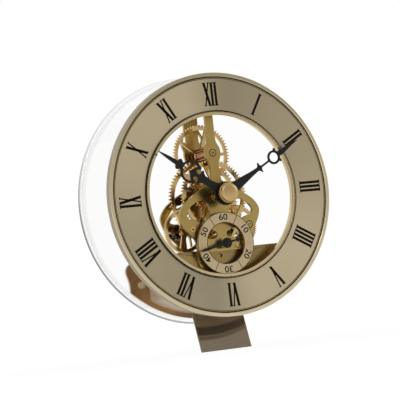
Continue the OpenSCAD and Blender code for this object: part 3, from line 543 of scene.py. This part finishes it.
def repeat_round(tool, first, count):
    """Copies part of a bmesh at equal steps round the dial's centre"""
    for step in range(1, count):
        copy = corners_of(bmesh.ops.duplicate(tool, geom=first)["geom"])
        bmesh.ops.rotate(tool, verts=copy, cent=spot(0, 0, 0),
                         matrix=Matrix.Rotation(FULL_TURN * step / count, 3, "Y"))
    bmesh.ops.recalc_face_normals(tool, faces=tool.faces)


# Printed numerals of the hours, each letter by its width and its strokes
HALF_HEIGHT = 7.1
SERIF_LINE = 6.95
HALF_SERIF = 0.26
STEM = 1.58
BROAD = 1.68
FINE = 0.82
HOUR_RADIUS = 61.7
PRINT_FRONT = -0.03
PRINT_BACK = 0.02


def stroke(foot, head, width):
    """A straight stroke with the middle of its foot and of its head at these places"""
    half = width / 2
    return [(foot - half, -HALF_HEIGHT), (foot + half, -HALF_HEIGHT), (head + half, HALF_HEIGHT),
            (head - half, HALF_HEIGHT)]


def serif(left, right, line):
    return [(left, line - HALF_SERIF), (right, line - HALF_SERIF), (right, line + HALF_SERIF),
            (left, line + HALF_SERIF)]


LETTER = {
    "I": (2.45, [stroke(0, 0, STEM), serif(-1.3, 1.3, SERIF_LINE), serif(-1.3, 1.3, -SERIF_LINE)]),
    "V": (4.8, [stroke(0.2, -1.75, BROAD), stroke(-0.1, 1.7, FINE), serif(-2.8, -0.7, SERIF_LINE),
                serif(0.85, 2.6, SERIF_LINE)]),
    "X": (4.6, [stroke(1.5, -1.5, BROAD), stroke(-1.5, 1.5, FINE), serif(-2.5, -0.5, SERIF_LINE),
                serif(0.7, 2.3, SERIF_LINE), serif(-2.3, -0.7, -SERIF_LINE), serif(0.5, 2.5, -SERIF_LINE)]),
}
HOURS = ["XII", "I", "II", "III", "IIII", "V", "VI", "VII", "VIII", "IX", "X", "XI"]


def hour_numeral(tool, text, turn):
    left = -sum(LETTER[letter][0] for letter in text) / 2
    for letter in text:
        width, strokes = LETTER[letter]
        for outline in strokes:
            points = [(across + left + width / 2, up + HOUR_RADIUS) for across, up in outline]
            prism(tool, points, PRINT_FRONT, PRINT_BACK, turn)
        left += width


numerals = bmesh.new()
for hour, text in enumerate(HOURS):
    hour_numeral(numerals, text, FULL_TURN * hour / len(HOURS))
bmesh.ops.recalc_face_normals(numerals, faces=numerals.faces)
piece("hour_numerals", numerals, INK, "case")

# Dark lines beside the dial's two edges, with a dark collar round the trim's outer wall as painted shade, and
# brown painted shade in the grooves
lines = bmesh.new()
ring(lines, 51.3, 51.7, PRINT_FRONT, PRINT_BACK)
# Painted shade: a dark collar round the trim's outer wall, where the wall lies in shade
ring(lines, 51.02, 51.1, -1.15, PRINT_BACK)
ring(lines, 71.2, 71.36, PRINT_FRONT, PRINT_BACK)
ring(lines, 72.0, 72.6, -0.05, PRINT_BACK)
piece("dial_lines", closed(lines), INK, "case")
# Painted shade in the grooves under the rope ridges
grooves = bmesh.new()
ring(grooves, 71.36, 72.0, -0.04, PRINT_BACK)
ring(grooves, 50.45, 50.65, -1.0, -0.55)
piece("rope_groove_shade", closed(grooves), GROOVE_SHADE_BROWN, "case")


# Rope bands in the grooves
ROPE_LEAN = 0.9
ROPE_CUT = 0.3


def rope(name, radius, count, length, width, front, high):
    """Short slanting ridges, with their upper edges cut off, set round the dial"""
    tool = bmesh.new()
    ridge = bmesh.ops.create_cube(tool, size=1.0)["verts"]
    bmesh.ops.scale(tool, vec=(length * MM, high * MM, width * MM), verts=ridge)
    upper = [edge for edge in tool.edges if all(corner.co.y < 0 for corner in edge.verts)]
    bmesh.ops.bevel(tool, geom=upper, offset=width * ROPE_CUT * MM, offset_type="OFFSET", segments=1,
                    profile=0.5, affect="EDGES", material=-1)
    bmesh.ops.rotate(tool, verts=tool.verts, cent=(0, 0, 0), matrix=Matrix.Rotation(ROPE_LEAN, 3, "Y"))
    bmesh.ops.translate(tool, verts=tool.verts, vec=spot(radius, front + high / 2, 0))
    repeat_round(tool, tool.verts[:] + tool.edges[:] + tool.faces[:], count)
    piece(name, tool, ROPE, "case")


rope("outer_rope", radius=71.68, count=480, length=0.56, width=0.52, front=-0.14, high=0.18)
rope("inner_rope", radius=50.55, count=360, length=0.5, width=0.46, front=-1.16, high=0.2)

# Outlines and dividers of the seconds dial
SECONDS_FRONT = 2.17
SECONDS_BACK = 2.22
seconds_print = bmesh.new()
ring(seconds_print, 18.78, 19.1, SECONDS_FRONT, SECONDS_BACK, steps=128, centre=SECONDS_CENTRE)
ring(seconds_print, 12.6, 12.92, SECONDS_FRONT, SECONDS_BACK, steps=96, centre=SECONDS_CENTRE)
DIVIDER = [(-0.17, 12.9), (0.17, 12.9), (0.17, 18.8), (-0.17, 18.8)]
for angle in (-30, 30, 150, -150):
    prism(seconds_print, DIVIDER, SECONDS_FRONT, SECONDS_BACK, math.radians(angle), SECONDS_CENTRE)
bmesh.ops.recalc_face_normals(seconds_print, faces=seconds_print.faces)
piece("seconds_lines", seconds_print, INK, "case")


# Numbers of the seconds dial
NUMBER_SIZE = 5.4
NUMBER_HALF_DEPTH = 0.02
NUMBER_SWELL = 0.06
NUMBER_WIDENING = 1.12
NUMBER_RADIUS = 15.85
NUMBER_MIDDLE = 2.18


def seconds_number(text, turn):
    """A plain number, made a mesh first and then set on the seconds dial"""
    words = bpy.data.curves.new("number_" + text, "FONT")
    words.body = text
    words.size = NUMBER_SIZE * MM
    words.align_x = "CENTER"
    words.align_y = "CENTER"
    words.extrude = NUMBER_HALF_DEPTH * MM
    words.offset = NUMBER_SWELL * MM
    shape = linked("number_" + text, words)
    bpy.context.view_layer.update()
    mesh = bpy.data.meshes.new_from_object(shape.evaluated_get(bpy.context.evaluated_depsgraph_get()))
    bpy.data.objects.remove(shape)
    bpy.data.curves.remove(words)
    widen = Matrix.Diagonal((NUMBER_WIDENING, 1.0, 1.0, 1.0))
    stand = Matrix.Rotation(QUARTER_TURN, 4, "X")
    lift = Matrix.Translation((0, 0, NUMBER_RADIUS * MM))
    swing = Matrix.Rotation(turn, 4, "Y")
    carry = Matrix.Translation(spot(SECONDS_CENTRE[0], NUMBER_MIDDLE, SECONDS_CENTRE[1]))
    mesh.transform(carry @ swing @ lift @ stand @ widen)
    seat("seconds_number_" + text, mesh, INK, "case")


SECONDS_TEXTS = ("60", "10", "20", "30", "40", "50")
for step, text in enumerate(SECONDS_TEXTS):
    seconds_number(text, FULL_TURN * step / len(SECONDS_TEXTS))

# Browned collars round two pivots of the front plate
collars = bmesh.new()
for pivot in ((0, 26.2), (19.5, -19.7)):
    ring(collars, 1.72, 2.35, 5.82, 6.0, steps=48, centre=pivot)
    ring(collars, 0.66, 0.95, 5.78, 5.95, steps=32, centre=pivot)
piece("pivot_collars", closed(collars), FINISH["dark_screw"], "case", smooth=True)

# Domed cap that closes the hub of the seconds hand
HUB_PROFILE = [(0, 0.34), (1.3, 0.34), (1.7, 0.2), (1.8, -0.02), (1.65, -0.26), (1.0, -0.42), (0, -0.46)]
piece("seconds_hub_cap", turned_form(HUB_PROFILE, 48, SECONDS_CENTRE), FINISH["black_metal"], "seconds",
      smooth=True)


# Turned cap on the hands, and the setting knob behind the case
def knurled(name, node, profile, radius, count, depth, front, back, finish):
    """A turned piece with a band of teeth round it, in place of a node of the same finish"""
    tool = turned_form(profile)
    tooth = bmesh.ops.create_cone(tool, cap_ends=True, segments=3, radius1=depth * MM, radius2=depth * MM,
                                  depth=(back - front) * MM)["verts"]
    bmesh.ops.rotate(tool, verts=tooth, cent=(0, 0, 0), matrix=Matrix.Rotation(QUARTER_TURN, 3, "X"))
    bmesh.ops.translate(tool, verts=tooth, vec=spot(0, (front + back) / 2, radius))
    edges = [edge for edge in tool.edges if edge.verts[0] in tooth]
    faces = [face for face in tool.faces if face.verts[0] in tooth]
    repeat_round(tool, tooth + edges + faces, count)
    made = piece(name, tool, FINISH[finish], "centre", smooth=True)
    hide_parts(node)


CAP_PROFILE = [(0, -6.8), (5.9, -6.8), (6.0, -6.9), (6.0, -8.9), (5.75, -9.1), (5.7, -9.5), (5.75, -10.6),
               (5.5, -11.2), (4.9, -11.65), (3.8, -12.0), (2.4, -12.24), (1.2, -12.33), (0, -12.35)]
KNOB_PROFILE = [(0, 38.2), (3, 38.2), (3, 41.2), (5.4, 41.2), (5.7, 41.5), (5.7, 46.4), (5.3, 46.8),
                (3.8, 47.0), (3.4, 46.5), (0, 46.4)]
knurled("turned_cap", "hand_cap", CAP_PROFILE, radius=6.0, count=56, depth=0.34, front=-8.9, back=-6.9,
        finish="cap_brass")
knurled("setting_knob", "set_knob", KNOB_PROFILE, radius=5.7, count=48, depth=0.3, front=41.6, back=46.3,
        finish="knob_black")


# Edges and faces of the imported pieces, by modifier
BEVELLED_EDGE = math.radians(50)
SEAM = 1e-6


def joined(node):
    """Joins a node's loose triangles, so that the next modifier finds its edges"""
    weld = node.modifiers.new("close", "WELD")
    weld.merge_threshold = SEAM


def soften(names, width, segments=2):
    for name in names:
        node = NODES[name]
        joined(node)
        round_off = node.modifiers.new("edge", "BEVEL")
        round_off.width = width * MM
        round_off.segments = segments
        round_off.limit_method = "ANGLE"
        round_off.angle_limit = BEVELLED_EDGE
        round_off.harden_normals = False
        even = node.modifiers.new("flat faces stay flat", "WEIGHTED_NORMAL")
        even.weight = 100


soften(["minute_hand", "hour_hand", "base_box", "base_face", "battery_door"], 0.22)
soften(["front_plate", "back_plate", "seconds_hand", "seconds_dial", "tongue"], 0.12, segments=1)

# The clear cover keeps a hair's breadth from the base, so that their touching faces don't mix
joined(NODES["rear_cover"])
shrink = NODES["rear_cover"].modifiers.new("hair's breadth", "DISPLACE")
shrink.mid_level = 0.0
shrink.strength = -0.04 * MM


# White floor and studio
def mixed(tree, share, low, high):
    """Mixes two shaders by a changing share"""
    mix = tree.nodes.new("ShaderNodeMixShader")
    for socket, value in zip(mix.inputs, (share, low, high)):
        tree.links.new(value, socket)
    return mix.outputs[0]


def background(tree, strength):
    """White light of a plain or changing strength"""
    light = tree.nodes.new("ShaderNodeBackground")
    light.inputs["Color"].default_value = WHITE
    feed(tree, strength, light.inputs["Strength"])
    return light.outputs[0]


FLOOR_REACH = 30.0
FLOOR_DROP = 0.2 * MM


def floor_finish():
    """Matt and pale, so that it keeps the part's shadow, and glowing white further out where it is seen"""
    material = bpy.data.materials.new("floor_white")
    material.use_nodes = True
    tree = material.node_tree
    tree.nodes.clear()
    distance = tree.nodes.new("ShaderNodeVectorMath")
    distance.operation = "LENGTH"
    tree.links.new(tree.nodes.new("ShaderNodeTexCoord").outputs["Object"], distance.inputs[0])
    whiter_out = spread(tree, distance.outputs["Value"], 0.88, 1.0, start=0.12, end=0.4)
    path = tree.nodes.new("ShaderNodeLightPath")
    seen = math_node(tree, "MAXIMUM", path.outputs["Is Camera Ray"], path.outputs["Is Glossy Ray"])
    seen = math_node(tree, "MAXIMUM", seen, path.outputs["Is Transmission Ray"])
    matte = tree.nodes.new("ShaderNodeBsdfDiffuse")
    matte.inputs["Color"].default_value = (0.8, 0.8, 0.8, 1.0)
    glow = tree.nodes.new("ShaderNodeEmission")
    glow.inputs["Color"].default_value = WHITE
    glow.inputs["Strength"].default_value = 1.05
    share = math_node(tree, "MULTIPLY", seen, whiter_out)
    end = tree.nodes.new("ShaderNodeOutputMaterial")
    tree.links.new(mixed(tree, share, matte.outputs[0], glow.outputs[0]), end.inputs["Surface"])
    return material


def studio():
    """White to the eye, dimmer in mirrors that look to the front, and a plain fill elsewhere"""
    world = bpy.data.worlds.new("studio")
    world.use_nodes = True
    tree = world.node_tree
    tree.nodes.clear()
    backward = split(tree, tree.nodes.new("ShaderNodeTexCoord").outputs["Generated"])[1]
    mirrored = background(tree, spread(tree, backward, 0.62, 1.0, start=-0.75, end=0.15))
    filling = background(tree, 0.62)
    plain = background(tree, 1.0)
    path = tree.nodes.new("ShaderNodeLightPath")
    straight = math_node(tree, "MAXIMUM", path.outputs["Is Camera Ray"], path.outputs["Is Transmission Ray"])
    unseen = mixed(tree, path.outputs["Is Glossy Ray"], filling, mirrored)
    end = tree.nodes.new("ShaderNodeOutputWorld")
    tree.links.new(mixed(tree, straight, unseen, plain), end.inputs["Surface"])
    return world


floor_tool = bmesh.new()
bmesh.ops.create_grid(floor_tool, x_segments=1, y_segments=1, size=FLOOR_REACH)
bmesh.ops.translate(floor_tool, verts=floor_tool.verts, vec=(0, 0, -FLOOR_DROP))
floor_mesh = bpy.data.meshes.new("floor")
floor_tool.to_mesh(floor_mesh)
floor_tool.free()
floor_mesh.materials.append(floor_finish())
floor = linked("floor", floor_mesh)
bpy.context.scene.world = studio()


# Lamps
def lamp(name, at, power, size):
    """A round soft lamp that shines at the dial's centre"""
    light = bpy.data.lights.new(name, "AREA")
    light.shape = "DISK"
    light.size = size
    light.energy = power
    aim = (DIAL - Vector(at)).to_track_quat("-Z", "Y").to_matrix().to_4x4()
    linked(name, light).matrix_world = Matrix.Translation(at) @ aim


lamp("key", (-0.9, -1.1, 1.1), power=3.2, size=0.7)
lamp("side", (1.2, -0.5, 0.6), power=1.6, size=0.8)

# Camera at the photograph's angle, fitted to the bezel and the opening of the dial
AZIMUTH = math.radians(-26.37)
ELEVATION = math.radians(-2.87)
ROLL = math.radians(-6.64)
REACH = 1.223
LENS = 180.0
SENSOR = 36.0
PHOTO_WIDTH = 400.0
DIAL_IN_PHOTO = (222.03, 193.97)

right = Vector((math.cos(AZIMUTH), math.sin(AZIMUTH), 0.0))
back = Vector((math.sin(AZIMUTH) * math.cos(ELEVATION), -math.cos(AZIMUTH) * math.cos(ELEVATION),
               math.sin(ELEVATION)))
up = back.cross(right)
image_right = right * math.cos(ROLL) + up * math.sin(ROLL)
image_up = -right * math.sin(ROLL) + up * math.cos(ROLL)
pixel = REACH * SENSOR / LENS / PHOTO_WIDTH
off_right = (DIAL_IN_PHOTO[0] - PHOTO_WIDTH / 2) * pixel
off_up = -(DIAL_IN_PHOTO[1] - PHOTO_WIDTH / 2) * pixel
eye = DIAL - image_right * off_right - image_up * off_up + back * REACH
lens = bpy.data.cameras.new("camera")
lens.lens = LENS
lens.sensor_width = SENSOR
lens.clip_start = 0.05
lens.clip_end = 100.0
camera = linked("camera", lens)
facing = Matrix((image_right, image_up, back)).transposed().to_4x4()
camera.matrix_world = Matrix.Translation(eye) @ facing
bpy.context.scene.camera = camera
bpy.context.scene.view_settings.view_transform = "Standard"
